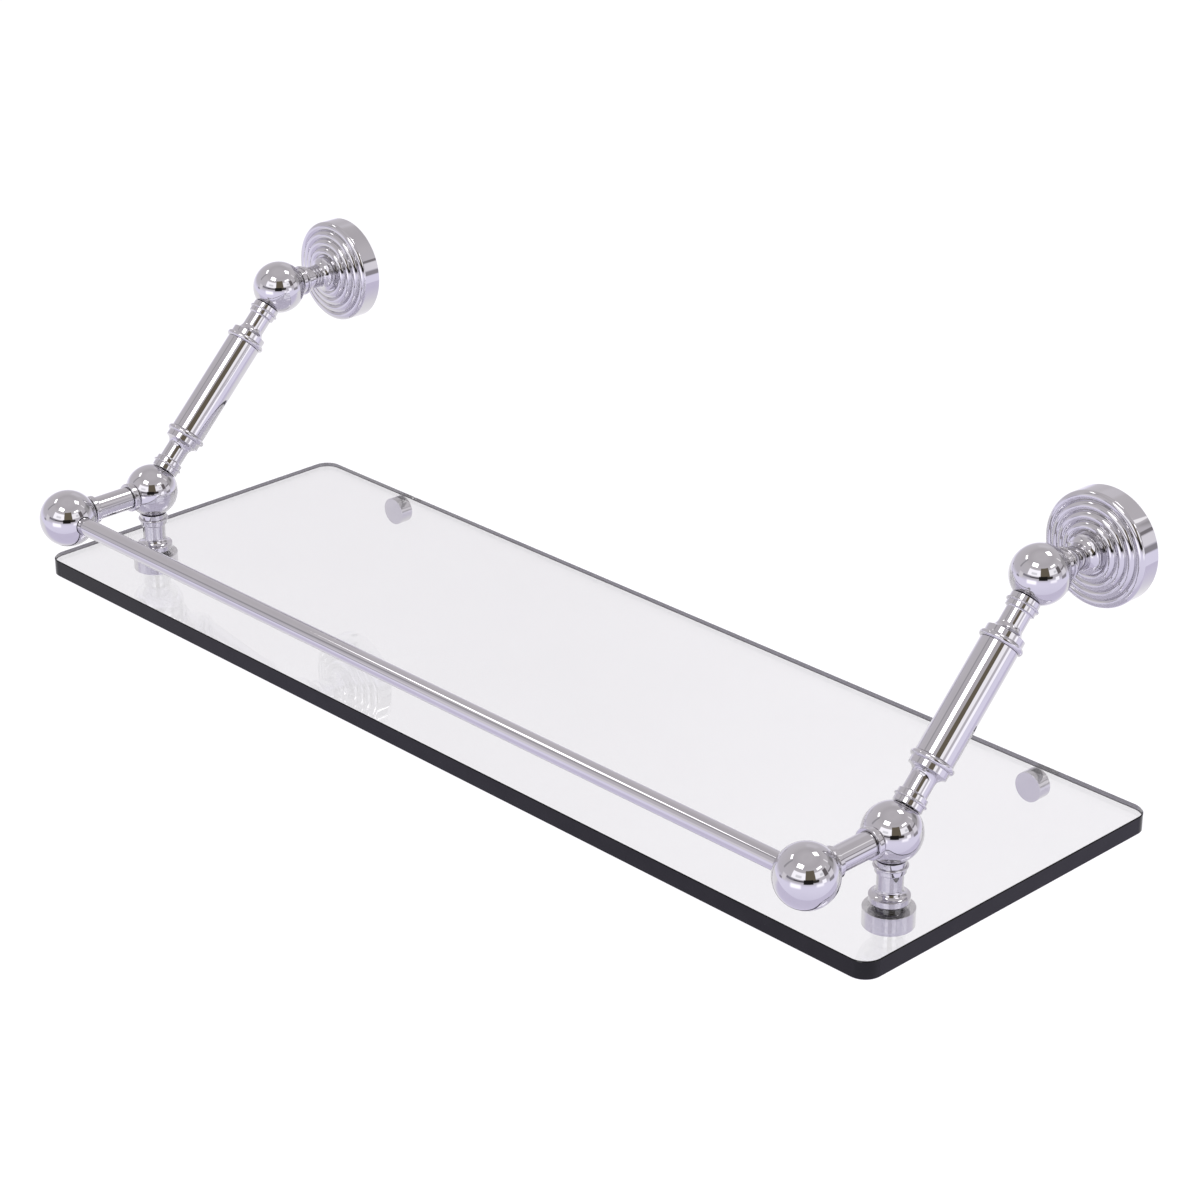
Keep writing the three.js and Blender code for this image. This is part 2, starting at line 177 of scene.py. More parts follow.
# The room that the chrome mirrors: elevation and colour, from straight down to straight up
ROOM_BASE = (
    (-90, (0.92, 0.88, 1.08)),
    (-50, (1.02, 0.98, 1.20)),
    (-22, (1.10, 1.06, 1.28)),
    (-8, (1.10, 1.06, 1.28)),
    (4, (0.77, 0.74, 0.80)),
    (40, (0.74, 0.71, 0.74)),
    (55, (0.66, 0.63, 0.66)),
    (76, (0.74, 0.71, 0.74)),
    (90, (0.72, 0.69, 0.72)),
)
# Things in it: azimuth, elevation, width, height and edge softness in degrees, then colour.
# Later ones lie in front.
ROOM_PATCHES = (
    (172, -9, 34, 13, 9.0, (1.80, 1.77, 1.90)),
    (93, -6, 24, 9, 8.0, (1.60, 1.57, 1.70)),
    (78, 1.5, 15, 11, 3.0, (1.60, 1.58, 1.68)),
    (-143, 4, 16, 16, 4.0, (1.00, 0.97, 1.02)),
    (48, -3.5, 22, 8, 3.0, (0.40, 0.38, 0.42)),
    (-131, -4, 12, 5, 3.0, (0.40, 0.38, 0.42)),
    (-127, 35, 7, 30, 4.0, (0.45, 0.44, 0.47)),
    (-32, 33, 24, 18, 8.0, (0.84, 0.81, 0.86)),
    (29.5, 36.5, 4, 13, 1.0, (1.40, 1.38, 1.40)),
    (52, 32, 5, 5, 1.0, (1.00, 0.98, 1.00)),
    (93, 26, 38, 19, 2.0, (1.42, 1.40, 1.45)),
    (82, 24, 12, 7, 4.0, (0.95, 0.95, 1.00)),
    (166.5, 25.5, 50, 22, 2.0, (1.60, 1.58, 1.65)),
    (166, 23, 22, 8, 4.0, (1.10, 1.10, 1.15)),
    (151, 9, 112, 5, 2.5, (0.13, 0.12, 0.14)),
    (-167.5, 9, 25, 6, 3.0, (0.33, 0.32, 0.37)),
    (17, 18.5, 36, 19, 4.0, (0.52, 0.50, 0.52)),
    (45, 8.5, 20, 13, 1.5, (1.08, 1.05, 1.12)),
    (43, 18, 22, 4, 1.2, (0.30, 0.28, 0.30)),
    (9, 17, 12, 12, 4.0, (0.32, 0.31, 0.32)),
    (65, 23, 16, 20, 2.5, (0.20, 0.18, 0.19)),
    (124, 28, 35, 33, 1.5, (0.20, 0.17, 0.125)),
    (107, 8.5, 20, 9, 3.0, (0.05, 0.045, 0.04)),
    (131, 7.5, 31, 15, 3.0, (0.020, 0.018, 0.017)),
)


# ----------------------------------------------------------------- mesh helpers


def arc(start, end, bulge, steps):
    """Points after start, up to end, on the arc that rises bulge to the left of the way from start to end."""
    (r0, s0), (r1, s1) = start, end
    chord = math.hypot(r1 - r0, s1 - s0)
    radius = (chord * chord / 4 + bulge * bulge) / (2 * abs(bulge))
    half = math.asin(min(1.0, chord / 2 / radius))
    if abs(bulge) > chord / 2:
        half = math.pi - half
    side = math.copysign(1, bulge)
    ur, us = (r1 - r0) / chord, (s1 - s0) / chord
    points = []
    for i in range(1, steps + 1):
        a = half * (2 * i / steps - 1)
        along = chord / 2 + radius * math.sin(a)
        rise = side * (radius * math.cos(a) - radius * math.cos(half))
        points.append((r0 + ur * along - us * rise, s0 + us * along + ur * rise))
    return points


def softened(points, closed):
    """The same profile with a small round on each corner sharper than SHARP_DEG."""
    ring = points[:-1] if closed else points
    out = []
    for i, p in enumerate(ring):
        if not closed and i in (0, len(ring) - 1):
            out.append(p)
            continue
        before, after = Vector(ring[i - 1]), Vector(ring[(i + 1) % len(ring)])
        p = Vector(p)
        a, b = before - p, after - p
        turn = math.pi - a.angle(b)
        if math.degrees(turn) < SHARP_DEG or p.x < ROD_BORE + 0.1:
            out.append(tuple(p))
            continue
        reach = SOFT_EDGE * math.tan(turn / 2)
        reach = min(reach, 0.4 * a.length, 0.4 * b.length)
        start, end = p + a.normalized() * reach, p + b.normalized() * reach
        for j in range(SOFT_STEPS + 1):
            t = j / SOFT_STEPS
            out.append(tuple(start * (1 - t) ** 2 + p * 2 * t * (1 - t) + end * t * t))
    if closed:
        out.append(out[0])
    return out


def lathe_mesh(name, points, origin, direction, sides=LATHE_SIDES):
    """A turned mesh from [radius, distance] points in millimetres, along direction from origin."""
    axis = Vector(direction).normalized()
    across = axis.cross(Vector((1, 0, 0)) if abs(axis.x) < 0.9 else Vector((0, 0, 1))).normalized()
    up = axis.cross(across)
    closed = points[0] == points[-1]
    ring_points = points[:-1] if closed else points
    mesh = bpy.data.meshes.new(name)
    bm = bmesh.new()
    rings = []
    for r, s in ring_points:
        centre = origin + axis * s * MM
        if r < 1e-6:
            rings.append([bm.verts.new(centre)])
            continue
        ring = []
        for k in range(sides):
            a = 2 * math.pi * k / sides
            ring.append(bm.verts.new(centre + (across * math.cos(a) + up * math.sin(a)) * r * MM))
        rings.append(ring)
    count = len(rings)
    for i in range(count if closed else count - 1):
        low, high = rings[i], rings[(i + 1) % count]
        for k in range(sides):
            n = (k + 1) % sides
            corners = [low[k % len(low)], low[n % len(low)], high[n % len(high)], high[k % len(high)]]
            face = list(dict.fromkeys(corners))
            bm.faces.new(face)
    bmesh.ops.recalc_face_normals(bm, faces=bm.faces)
    bm.to_mesh(mesh)
    bm.free()
    return mesh


def new_object(name, mesh):
    piece = bpy.data.objects.new(name, mesh)
    bpy.context.scene.collection.objects.link(piece)
    return piece


def cut(piece, tools):
    """Takes the tool meshes away from the piece, for good."""
    for tool_shape in tools:
        tool = new_object("cutter", tool_shape)
        step = piece.modifiers.new("cut", "BOOLEAN")
        step.operation = "DIFFERENCE"
        step.solver = "EXACT"
        step.object = tool
        bpy.context.view_layer.update()
        dg = bpy.context.evaluated_depsgraph_get()
        done = bpy.data.meshes.new_from_object(piece.evaluated_get(dg), depsgraph=dg)
        piece.modifiers.clear()
        done.name = piece.data.name
        piece.data = done
        bpy.data.objects.remove(tool)


def smooth(piece):
    """Smooth shading with sharp corners kept, and led by the larger faces so that flats stay flat."""
    piece.data.shade_smooth()
    piece.data.set_sharp_from_angle(angle=math.radians(SHARP_DEG))
    step = piece.modifiers.new("even_shading", "WEIGHTED_NORMAL")
    step.keep_sharp = True


def finish_piece(piece, node, material):
    """Gives the piece its material, and puts it in the place of its CAD node."""
    piece.data.materials.clear()
    piece.data.materials.append(material)
    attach(piece, "root")
    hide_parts(node)


def turned(node, points, origin, direction, tools=()):
    """A chrome piece that stands for a CAD node."""
    name = "fine_" + node
    closed = points[0] == points[-1]
    piece = new_object(name, lathe_mesh(name, softened(points, closed), origin, direction))
    cut(piece, tools)
    smooth(piece)
    finish_piece(piece, node, chrome)


def tool_mesh(points, origin, direction, sides=LATHE_SIDES):
    return lathe_mesh("cutter", points, origin, direction, sides)


def drill(radius, start, end):
    """Outline of a straight round cutter."""
    return [(0.0, start), (radius, start), (radius, end), (0.0, end)]


# -------------------------------------------------------------------- materials


def new_material(name):
    material = bpy.data.materials.new(name)
    material.use_nodes = True
    tree = material.node_tree
    return material, tree, tree.nodes["Principled BSDF"]


def noise(tree, scale, detail, coordinates, stretch=(1, 1, 1)):
    mapping = tree.nodes.new("ShaderNodeMapping")
    mapping.inputs["Scale"].default_value = stretch
    tree.links.new(coordinates, mapping.inputs["Vector"])
    texture = tree.nodes.new("ShaderNodeTexNoise")
    texture.inputs["Scale"].default_value = scale
    texture.inputs["Detail"].default_value = detail
    tree.links.new(mapping.outputs["Vector"], texture.inputs["Vector"])
    return texture.outputs["Fac"]


def spread(tree, value, low, high):
    """The noise's middle range, stretched over low to high."""
    step = tree.nodes.new("ShaderNodeMapRange")
    step.inputs["From Min"].default_value = 0.3
    step.inputs["From Max"].default_value = 0.7
    step.inputs["To Min"].default_value = low
    step.inputs["To Max"].default_value = high
    tree.links.new(value, step.inputs["Value"])
    return step.outputs["Result"]


def blend_colours(tree, value, low, high):
    mix = tree.nodes.new("ShaderNodeMix")
    mix.data_type = "RGBA"
    mix.inputs["A"].default_value = (*low, 1)
    mix.inputs["B"].default_value = (*high, 1)
    tree.links.new(value, mix.inputs["Factor"])
    return mix.outputs["Result"]


def bump(tree, height, strength, distance):
    step = tree.nodes.new("ShaderNodeBump")
    step.inputs["Strength"].default_value = strength
    step.inputs["Distance"].default_value = distance
    tree.links.new(height, step.inputs["Height"])
    return step.outputs["Normal"]


def object_coordinates(tree):
    return tree.nodes.new("ShaderNodeTexCoord").outputs["Object"]


def make_chrome():
    material, tree, shader = new_material("polished_chrome")
    place = object_coordinates(tree)
    cloud = noise(tree, 60, 3, place)
    fine = noise(tree, 900, 4, place)
    shader.inputs["Metallic"].default_value = 1
    tint = blend_colours(tree, spread(tree, cloud, 0, 1), *CHROME_TINTS)
    tree.links.new(tint, shader.inputs["Base Color"])
    tree.links.new(spread(tree, fine, *CHROME_ROUGHNESS), shader.inputs["Roughness"])
    return material


def make_steel():
    material, tree, shader = new_material("zinc_steel")
    place = object_coordinates(tree)
    cloud = noise(tree, 250, 4, place)
    grain = noise(tree, 700, 3, place, (1, 6, 1))
    shader.inputs["Metallic"].default_value = 1
    tint = blend_colours(tree, spread(tree, cloud, 0, 1), *STEEL_TINTS)
    tree.links.new(tint, shader.inputs["Base Color"])
    tree.links.new(spread(tree, grain, *STEEL_ROUGHNESS), shader.inputs["Roughness"])
    tree.links.new(bump(tree, grain, 0.25, 0.0001), shader.inputs["Normal"])
    return material


def make_plastic():
    material, tree, shader = new_material("clear_plastic")
    place = object_coordinates(tree)
    cloud = noise(tree, 400, 3, place)
    tint = blend_colours(tree, spread(tree, cloud, 0, 1), *PLASTIC_TINTS)
    tree.links.new(tint, shader.inputs["Base Color"])
    tree.links.new(spread(tree, cloud, *PLASTIC_ROUGHNESS), shader.inputs["Roughness"])
    shader.inputs["Transmission Weight"].default_value = 0.6
    shader.inputs["IOR"].default_value = 1.49
    return material


def make_glass():
    material, tree, shader = new_material("clear_glass")
    place = object_coordinates(tree)
    cloud = noise(tree, 14, 2, place)
    tint = blend_colours(tree, spread(tree, cloud, 0, 1), *GLASS_TINTS)
    tree.links.new(tint, shader.inputs["Base Color"])
    tree.links.new(spread(tree, cloud, *GLASS_ROUGHNESS), shader.inputs["Roughness"])
    shader.inputs["Transmission Weight"].default_value = 1
    shader.inputs["IOR"].default_value = 1.8
    return material


# Painted shade: a near-black copy of the clear glass, for the shelf's edges, chamfers and hole walls
def make_glass_edge_painted_shade():
    material, tree, shader = new_material("glass_edge_painted_shade")
    place = object_coordinates(tree)
    cloud = noise(tree, 120, 3, place)
    tint = blend_colours(tree, spread(tree, cloud, 0, 1), *GLASS_EDGE_SHADE_TINTS)
    tree.links.new(tint, shader.inputs["Base Color"])
    tree.links.new(spread(tree, cloud, *GLASS_EDGE_ROUGHNESS), shader.inputs["Roughness"])
    shader.inputs["Transmission Weight"].default_value = 0.1
    shader.inputs["IOR"].default_value = 1.30
    return material


def floor_glow(tree, place):
    """The floor's own painted light, by how far the place lies behind the shelf: dimmer and lavender near the
    shelf, as painted shade.
    """
    away = tree.nodes.new("ShaderNodeVectorMath")
    away.operation = "DOT_PRODUCT"
    away.inputs[1].default_value = (*FLOOR_CENTRE.normalized(), 0)
    tree.links.new(place, away.inputs[0])
    share = tree.nodes.new("ShaderNodeMapRange")
    share.inputs["From Min"].default_value = FLOOR_GLOW_START
    share.inputs["From Max"].default_value = FLOOR_GLOW_END
    tree.links.new(away.outputs["Value"], share.inputs["Value"])
    return blend_colours(tree, share.outputs["Result"], *FLOOR_SHADE_TO_GLOW_COLOURS)


def make_floor_material():
    material, tree, shader = new_material("pale_floor")
    place = object_coordinates(tree)
    cloud = noise(tree, 1.5, 2, place)
    tint = blend_colours(tree, spread(tree, cloud, 0, 1), *FLOOR_TINTS)
    tree.links.new(tint, shader.inputs["Base Color"])
    shader.inputs["Roughness"].default_value = 0.9
    shader.inputs["Specular IOR Level"].default_value = 0.0
    tree.links.new(floor_glow(tree, place), shader.inputs["Emission Color"])
    shader.inputs["Emission Strength"].default_value = FLOOR_GLOW
    return material


chrome = make_chrome()
steel = make_steel()
plastic = make_plastic()
glass = make_glass()
glass_edge_painted_shade = make_glass_edge_painted_shade()


# --------------------------------------------------------------------- profiles


def collar_outside():
    """Outside of a collar, from the face by the ball to the far face of its band."""
    return [
        (RING_RADIUS, BALL_SEAT + GAP),
        (RING_RADIUS, BEAD_START),
        *arc((RING_RADIUS, BEAD_START), (RING_RADIUS, BEAD_END), RING_RADIUS - BEAD_RADIUS, 10),
        (RING_RADIUS, RING_END),
        *arc((RING_RADIUS, RING_END), (NECK_RADIUS, NECK_START), SHOULDER_BULGE, 6),
        (NECK_RADIUS, NECK_END),
        *arc((NECK_RADIUS, NECK_END), (BAND_RADIUS, BAND_START), COVE_BULGE, 12),
        (BAND_RADIUS, COLLAR_END),
    ]


def plain_collar():
    """The stem's collar, closed round its bore."""
    start = (ROD_BORE, BALL_SEAT + GAP)
    return [start, *collar_outside(), (ROD_BORE, COLLAR_END), start]


def post_profile():
    """The post: a collar with a recess for the washer in its lower face."""
    start = (ROD_BORE, BALL_SEAT + GAP)
    recess = COLLAR_END - WASHER_RECESS
    return [
        start,
        *collar_outside(),
        (WASHER_RADIUS + GAP, COLLAR_END),
        (WASHER_RADIUS + GAP, recess),
        (ROD_BORE, recess),
        start,
    ]


def arm_collar():
    """The arm's collar: it ends in a big bead, and a spigot reaches into the tube."""
    start = (ROD_BORE, BALL_SEAT + GAP)
    spigot = ARM_TUBE_RADIUS - ARM_TUBE_WALL - GAP
    bead_bulge = BAND_RADIUS - BIG_BEAD_RADIUS
    return [
        start,
        *collar_outside(),
        (BAND_RADIUS, BIG_BEAD_START),
        *arc((BAND_RADIUS, BIG_BEAD_START), (BAND_RADIUS, BIG_BEAD_END), bead_bulge, 14),
        (spigot, BIG_BEAD_END),
        (spigot, BIG_BEAD_END + SPIGOT_LENGTH),
        (ROD_BORE, BIG_BEAD_END + SPIGOT_LENGTH),
        start,
    ]


def ferrule(seat):
    """The spacer's ferrule: a short rounded ring by its ball, with a spigot inside the tube."""
    start = seat + GAP
    end = start + FERRULE_LENGTH
    edge = FERRULE_RADIUS - FERRULE_ROUND
    spigot = SPACER_RADIUS - SPACER_WALL - GAP
    round_bulge = -FERRULE_ROUND * (1 - math.sqrt(0.5))
    return [
        (ROD_BORE, start),
        (edge, start),
        *arc((edge, start), (FERRULE_RADIUS, start + FERRULE_ROUND), round_bulge, 5),
        *arc((FERRULE_RADIUS, end - FERRULE_ROUND), (edge, end), round_bulge, 5),
        (spigot, end),
        (spigot, end + FERRULE_SPIGOT),
        (ROD_BORE, end + FERRULE_SPIGOT),
        (ROD_BORE, start),
    ]


def sleeve(outer, inner, start, end):
    """A plain tube's section."""
    return [(inner, start), (outer, start), (outer, end), (inner, end), (inner, start)]


def rosette_profile():
    """The flange: a straight rim, rounded ridges up to its face, and a hollow back."""
    points = [(ROSETTE_HOLLOW_RADIUS, 0), (ROSETTE_RADIUS, 0), (ROSETTE_RADIUS, ROSETTE_RIM)]
    dr = (ROSETTE_MIDDLE_RADIUS - ROSETTE_RADIUS) / ROSETTE_RIDGES
    ds = (ROSETTE_FACE - ROSETTE_RIM) / ROSETTE_RIDGES
    here = points[-1]
    for _ in range(ROSETTE_RIDGES):
        there = (here[0] + dr, here[1] + ds)
        ridge = arc(here, there, -RIDGE_BULGE, 12)
        points += [(min(r, ROSETTE_RADIUS), s) for r, s in ridge]
        here = there
    points += [
        (ROD_BORE, ROSETTE_FACE),
        (ROD_BORE, ROSETTE_FLOOR),
        (ROSETTE_FLOOR_RADIUS, ROSETTE_FLOOR),
        (ROSETTE_HOLLOW_RADIUS, ROSETTE_HOLLOW_SIDE),
        (ROSETTE_HOLLOW_RADIUS, 0),
    ]
    return points


def ball_profile(radius):
    steps = LATHE_SIDES // 2
    turns = [math.pi * i / steps for i in range(1, steps)]
    outside = [(radius * math.sin(a), -radius * math.cos(a)) for a in turns]
    return [(0.0, -radius), *outside, (0.0, radius)]


def seat_tool(seat, radius):
    """Cuts a flat seat on a ball, and the hole for its stud or rod."""
    return [
        (0.0, STUD_DEPTH),
        (ROD_BORE, STUD_DEPTH),
        (ROD_BORE, seat),
        (SEAT_CLEAR_RADIUS, seat),
        (SEAT_CLEAR_RADIUS, radius + PAST_SURFACE),
        (0.0, radius + PAST_SURFACE),
    ]


def cap_profile():
    """The clamp cap, measured down from the glass's top: a drum with a stud hole and a washer recess."""
    top = GLASS_THICKNESS + GAP
    bottom = GLASS_THICKNESS + CAP_HEIGHT
    return [
        (0.0, GLASS_THICKNESS + CAP_BORE_DEPTH),
        (ROD_BORE, GLASS_THICKNESS + CAP_BORE_DEPTH),
        (ROD_BORE, top + WASHER_RECESS),
        (WASHER_RADIUS + GAP, top + WASHER_RECESS),
        (WASHER_RADIUS + GAP, top),
        (CAP_RADIUS, top),
        (CAP_RADIUS, bottom - CAP_ROUND),
        *arc((CAP_RADIUS, bottom - CAP_ROUND), (CAP_RADIUS - CAP_ROUND, bottom), CAP_ROUND_BULGE, 4)[:-1],
        (CAP_RADIUS - CAP_ROUND, bottom),
        (0.0, bottom),
    ]


def pin_profile():
    """A stub with a blind screw hole in its wall end."""
    return [
        (0.0, PIN_HOLE_DEPTH),
        (PIN_HOLE_RADIUS, PIN_HOLE_DEPTH),
        (PIN_HOLE_RADIUS, 0),
        (PIN_RADIUS, 0),
        (PIN_RADIUS, PIN_LENGTH),
        (0.0, PIN_LENGTH),
    ]


# ----------------------------------------------------------------------- pieces

BACK, FORWARD, DOWN = Vector((0, 1, 0)), Vector((0, -1, 0)), Vector((0, 0, -1))
ARM_UP = Vector((0, 1, 1)).normalized()
ARM_DOWN = -ARM_UP


def ball_centres(side):
    """Centres of the upper, lower and front ball, from the CAD balls' boxes on their uncut sides."""
    low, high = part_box(f"upper_ball_{side}")
    x = (low.x + high.x) / 2
    upper = Vector((x, low.y + BALL_RADIUS * MM, (low.z + high.z) / 2))
    low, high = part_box(f"lower_ball_{side}")
    lower = Vector((x, high.y - BALL_RADIUS * MM, high.z - BALL_RADIUS * MM))
    low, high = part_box(f"front_ball_{side}")
    front = Vector((x, low.y + FRONT_BALL_RADIUS * MM, (low.z + high.z) / 2))
    return upper, lower, front


def make_ball(node, centre, radius, tools):
    name = "fine_" + node
    piece = new_object(name, lathe_mesh(name, ball_profile(radius), centre, DOWN))
    cut(piece, tools)
    smooth(piece)
    finish_piece(piece, node, chrome)


def make_balls(side, sign, upper, lower, front):
    upper_seats = [tool_mesh(seat_tool(BALL_SEAT, BALL_RADIUS), upper, d) for d in (BACK, ARM_DOWN)]
    make_ball(f"upper_ball_{side}", upper, BALL_RADIUS, upper_seats)
    lower_seats = [tool_mesh(seat_tool(BALL_SEAT, BALL_RADIUS), lower, d) for d in (ARM_UP, FORWARD, DOWN)]
    make_ball(f"lower_ball_{side}", lower, BALL_RADIUS, lower_seats)
    spacer_seat = tool_mesh(seat_tool(FRONT_BALL_SEAT, FRONT_BALL_RADIUS), front, BACK)
    socket = drill(RAIL_RADIUS + GAP, RAIL_SOCKET, FRONT_BALL_RADIUS + PAST_SURFACE)
    rail_socket = tool_mesh(socket, front, Vector((-sign, 0, 0)))
    make_ball(f"front_ball_{side}", front, FRONT_BALL_RADIUS, [spacer_seat, rail_socket])


def make_rosette(side, upper):
    """The flange round the stem's axis, with a set screw's hole in the underside of its rim."""
    back = Vector((upper.x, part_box(f"rosette_{side}")[1].y, upper.z))
    screw_axis = Vector((upper.x, -SET_SCREW_SETBACK * MM, upper.z))
    screw = drill(SET_SCREW_BORE, ROSETTE_HOLLOW_RADIUS - PAST_SURFACE, ROSETTE_RADIUS + PAST_SURFACE)
    screw_hole = tool_mesh(screw, screw_axis, DOWN, SET_SCREW_SIDES)
    turned(f"rosette_{side}", rosette_profile(), back, FORWARD, [screw_hole])


def make_arm(side, upper, lower):
    length = (upper - lower).length / MM
    inner = ARM_TUBE_RADIUS - ARM_TUBE_WALL
    tube_start = BIG_BEAD_END + JOINT
    turned(f"arm_collar_upper_{side}", arm_collar(), upper, ARM_DOWN)
    turned(f"arm_collar_lower_{side}", arm_collar(), lower, ARM_UP)
    tube = sleeve(ARM_TUBE_RADIUS, inner, tube_start, length - tube_start)
    turned(f"arm_tube_{side}", tube, upper, ARM_DOWN)


def make_spacer(side, lower, front):
    reach = (lower - front).length / MM
    inner = SPACER_RADIUS - SPACER_WALL
    tube_start = BALL_SEAT + FERRULE_LENGTH + 2 * GAP
    tube_end = reach - FRONT_BALL_SEAT - FERRULE_LENGTH - 2 * GAP
    turned(f"spacer_ferrule_rear_{side}", ferrule(BALL_SEAT), lower, FORWARD)
    turned(f"spacer_ferrule_front_{side}", ferrule(FRONT_BALL_SEAT), front, BACK)
    turned(f"spacer_tube_{side}", sleeve(SPACER_RADIUS, inner, tube_start, tube_end), lower, FORWARD)


def make_bracket(side, sign):
    upper, lower, front = ball_centres(side)
    make_balls(side, sign, upper, lower, front)
    make_rosette(side, upper)
    turned(f"stem_collar_{side}", plain_collar(), upper, BACK)
    make_arm(side, upper, lower)
    make_spacer(side, lower, front)
    turned(f"post_{side}", post_profile(), lower, DOWN)
    turned(f"clamp_cap_{side}", cap_profile(), Vector((lower.x, lower.y, 0)), DOWN)
    low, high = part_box(f"rear_pin_{side}")
    pin = Vector(((low.x + high.x) / 2, high.y, (low.z + high.z) / 2))
    turned(f"rear_pin_{side}", pin_profile(), pin, FORWARD)


def make_rail():
    low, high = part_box("gallery_rail")
    centre = Vector((0, (low.y + high.y) / 2, (low.z + high.z) / 2))
    tube = sleeve(RAIL_RADIUS, RAIL_RADIUS - RAIL_WALL, low.x / MM, high.x / MM)
    turned("gallery_rail", tube, centre, Vector((1, 0, 0)))


def glass_outline(low, high, inset):
    """Corner-rounded rectangle, anticlockwise seen from above."""
    r = GLASS_CORNER_RADIUS * MM
    points = []
    for cx, cy, quarter in (
        (high.x - r, low.y + r, 3),
        (high.x - r, high.y - r, 0),
        (low.x + r, high.y - r, 1),
        (low.x + r, low.y + r, 2),
    ):
        for i in range(GLASS_CORNER_STEPS + 1):
            a = math.pi / 2 * (quarter + i / GLASS_CORNER_STEPS)
            points.append((cx + (r - inset) * math.cos(a), cy + (r - inset) * math.sin(a)))
    return points


def glass_mesh(low, high):
    """The plate's outline at four heights, with a small chamfer round its top and underside."""
    c = GLASS_CHAMFER * MM
    levels = [(low.z, c), (low.z + c, 0), (high.z - c, 0), (high.z, c)]
    mesh = bpy.data.meshes.new("fine_glass_shelf")
    bm = bmesh.new()
    rings = []
    for z, inset in levels:
        rings.append([bm.verts.new((x, y, z)) for x, y in glass_outline(low, high, inset)])
    count = len(rings[0])
    for below, above in zip(rings, rings[1:]):
        for k in range(count):
            n = (k + 1) % count
            bm.faces.new((below[k], below[n], above[n], above[k]))
    bm.faces.new(rings[-1])
    bm.faces.new(reversed(rings[0]))
    bmesh.ops.recalc_face_normals(bm, faces=bm.faces)
    bm.to_mesh(mesh)
    bm.free()
    return mesh


def make_glass_shelf():
    piece = new_object("fine_glass_shelf", glass_mesh(*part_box("glass_shelf")))
    hole = drill(GLASS_HOLE_RADIUS, -PAST_SURFACE, GLASS_THICKNESS + PAST_SURFACE)
    tools = []
    for side in SIDES:
        low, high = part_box(f"post_{side}")
        top = Vector(((low.x + high.x) / 2, (low.y + high.y) / 2, 0))
        tools.append(tool_mesh(hole, top, DOWN, GLASS_HOLE_SIDES))
    cut(piece, tools)
    smooth(piece)
    finish_piece(piece, "glass_shelf", glass)
    # The edges, chamfers and hole walls get the painted-shade copy of the glass
    piece.data.materials.append(glass_edge_painted_shade)
    for face in piece.data.polygons:
        face.material_index = 0 if abs(face.normal.z) > LEVEL_FACE else 1


def dress_cad_nodes():
    """Gives the CAD nodes that stay their finish."""
    for name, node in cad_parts.items():
        if node.hide_render:
            continue
        material = plastic if name.startswith("washer") else steel
        node.data.materials.clear()
        node.data.materials.append(material)


# ----------------------------------------------------------------------- studio


def direction_to(azimuth, elevation):
    a, e = math.radians(azimuth), math.radians(elevation)
    return Vector((math.sin(a) * math.cos(e), math.cos(a) * math.cos(e), math.sin(e)))


def make_lamps():
    for name, (azimuth, elevation, width, height, distance, radiance) in LAMPS.items():
        light = bpy.data.lights.new(name, "AREA")
        light.shape = "RECTANGLE"
        light.size = 2 * distance * math.tan(math.radians(width / 2))
        light.size_y = 2 * distance * math.tan(math.radians(height / 2))
        light.energy = radiance * math.pi * light.size * light.size_y
        lamp = new_object(name, light)
        towards = direction_to(azimuth, elevation)
        lamp.location = towards * distance
        lamp.rotation_mode = "QUATERNION"
        lamp.rotation_quaternion = towards.to_track_quat("Z", "Y")
        lamp.visible_camera = False


def math_node(tree, operation, *values):
    node = tree.nodes.new("ShaderNodeMath")
    node.operation = operation
    for socket, value in zip(node.inputs, values):
        if isinstance(value, (int, float)):
            socket.default_value = value
        else:
            tree.links.new(value, socket)
    return node.outputs[0]


def lay_over(tree, share, below, colour):
    """The colour below, with another laid over it by share."""
    mix = tree.nodes.new("ShaderNodeMix")
    mix.data_type = "RGBA"
    tree.links.new(share, mix.inputs["Factor"])
    tree.links.new(below, mix.inputs["A"])
    mix.inputs["B"].default_value = (*colour, 1)
    return mix.outputs["Result"]


def within(tree, offset, width, soft):
    """1 where the offset is inside a span of width degrees, and 0 outside, with a soft edge."""
    node = tree.nodes.new("ShaderNodeMapRange")
    node.interpolation_type = "SMOOTHSTEP"
    node.inputs["From Min"].default_value = math.radians((width + soft) / 2)
    node.inputs["From Max"].default_value = math.radians((width - soft) / 2)
    tree.links.new(math_node(tree, "ABSOLUTE", offset), node.inputs["Value"])
    return node.outputs["Result"]


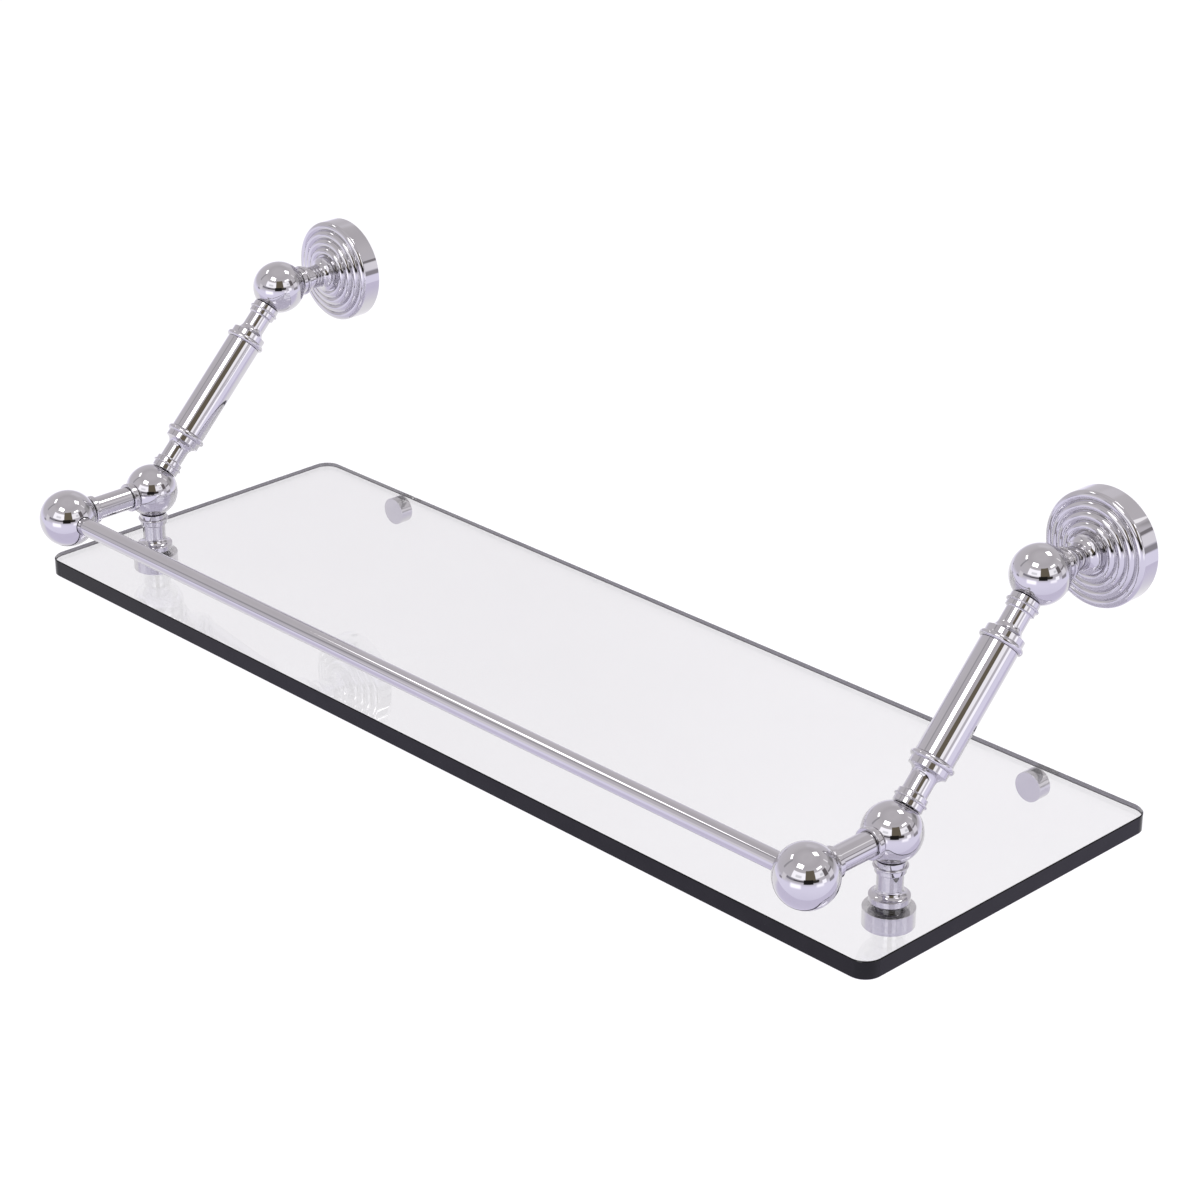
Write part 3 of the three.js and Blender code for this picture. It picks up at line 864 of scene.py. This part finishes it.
def room_base(tree, elevation):
    """The room's colour by elevation alone."""
    share = tree.nodes.new("ShaderNodeMapRange")
    share.inputs["From Min"].default_value = -math.pi / 2
    share.inputs["From Max"].default_value = math.pi / 2
    tree.links.new(elevation, share.inputs["Value"])
    ramp = tree.nodes.new("ShaderNodeValToRGB")
    stops = ramp.color_ramp.elements
    while len(stops) < len(ROOM_BASE):
        stops.new(0.5)
    for stop, (height, colour) in zip(stops, ROOM_BASE):
        stop.position = (height + 90) / 180
        stop.color = (*colour, 1)
    tree.links.new(share.outputs["Result"], ramp.inputs["Fac"])
    return ramp.outputs["Color"]


def make_room():
    """World colours by direction: a pale room with windows and a few darker things at eye level."""
    world = bpy.data.worlds.new("room")
    world.use_nodes = True
    bpy.context.scene.world = world
    tree = world.node_tree

    towards = tree.nodes.new("ShaderNodeTexCoord").outputs["Generated"]
    parts = tree.nodes.new("ShaderNodeSeparateXYZ")
    tree.links.new(towards, parts.inputs[0])
    x, y, z = parts.outputs
    azimuth = math_node(tree, "ARCTAN2", x, y)
    elevation = math_node(tree, "ARCSINE", z)

    room = room_base(tree, elevation)
    for az, el, width, height, soft, colour in ROOM_PATCHES:
        turn = math_node(tree, "SUBTRACT", azimuth, math.radians(az))
        turn = math_node(tree, "WRAP", turn, math.pi, -math.pi)
        rise = math_node(tree, "SUBTRACT", elevation, math.radians(el))
        across, up = within(tree, turn, width, soft), within(tree, rise, height, soft)
        room = lay_over(tree, math_node(tree, "MULTIPLY", across, up), room, colour)

    # The camera itself sees a plain pale backdrop past the floor's edge.
    seen = tree.nodes.new("ShaderNodeLightPath").outputs["Is Camera Ray"]
    tree.links.new(lay_over(tree, seen, room, BACKDROP), tree.nodes["Background"].inputs["Color"])


def make_floor():
    points = [(0.0, 0.0), (FLOOR_RADIUS / MM, 0.0)]
    centre = Vector((*FLOOR_CENTRE, FLOOR_Z))
    floor = new_object("floor", lathe_mesh("floor", points, centre, Vector((0, 0, 1)), FLOOR_SIDES))
    floor.data.materials.append(make_floor_material())


def make_camera():
    data = bpy.data.cameras.new("camera")
    data.lens = CAMERA_LENS
    data.sensor_width = CAMERA_SENSOR
    camera = new_object("camera", data)
    camera.location = CAMERA_PLACE
    camera.rotation_euler = [math.radians(a) for a in CAMERA_TURN_DEG]
    bpy.context.scene.camera = camera


bpy.context.scene.view_settings.view_transform = "Standard"
bpy.context.scene.cycles.glossy_bounces = GLOSSY_BOUNCES
make_camera()
make_glass_shelf()
make_rail()
for side, sign in SIDES.items():
    make_bracket(side, sign)
dress_cad_nodes()
make_floor()
make_lamps()
make_room()
